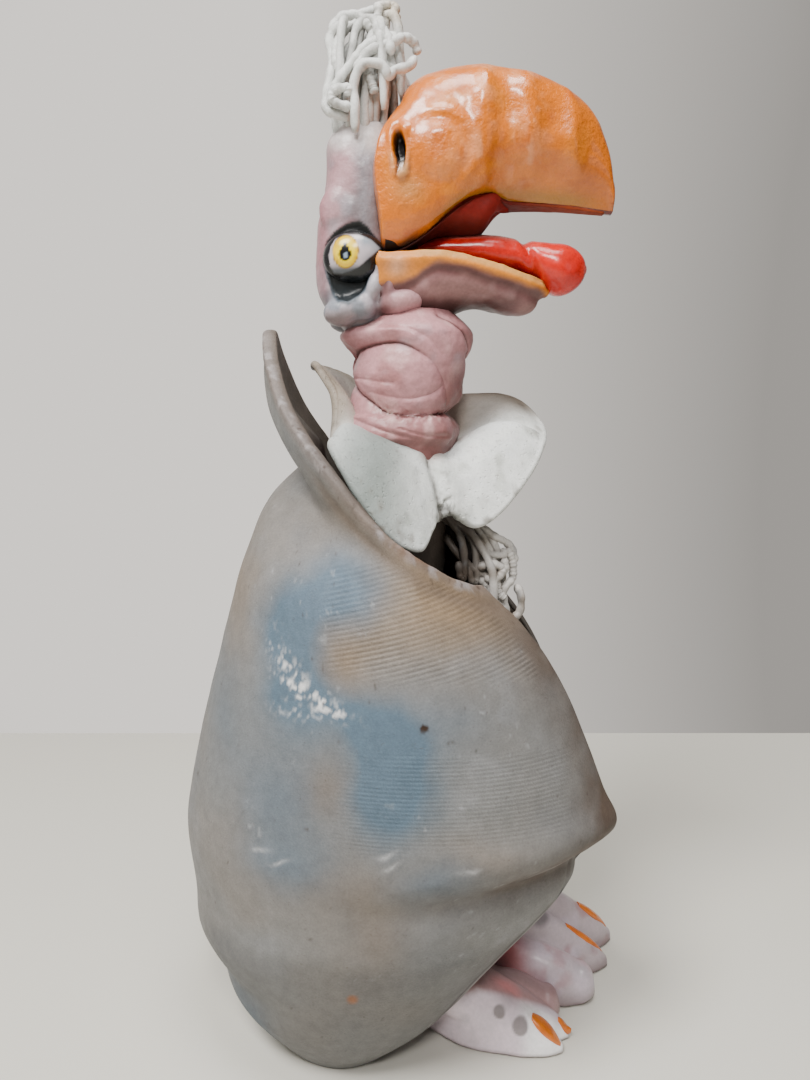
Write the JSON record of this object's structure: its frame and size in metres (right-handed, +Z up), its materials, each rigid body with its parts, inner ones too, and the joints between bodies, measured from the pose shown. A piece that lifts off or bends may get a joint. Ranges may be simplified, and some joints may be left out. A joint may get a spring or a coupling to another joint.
{
  "type": "figurine",
  "caption": "Hand-built stoneware vulture standing hunched in its wings like a cloak, with a heavy hooked beak, hanging tongue, ruffled collar and strand crest.",
  "frame": {"origin": "on the floor, under the middle of the figure's bounding box", "axes": "+X the way the bird faces, +Z up, -Y its right side"},
  "size_m": [0.1636, 0.1166, 0.3433],
  "materials": {
    "painted_stoneware": "matt grey-tan slip with blue washes on the wings, glossy orange beak and red tongue"
  },
  "bodies": {
    "root": {"vulture": "painted_stoneware"}
  },
  "joints": []
}
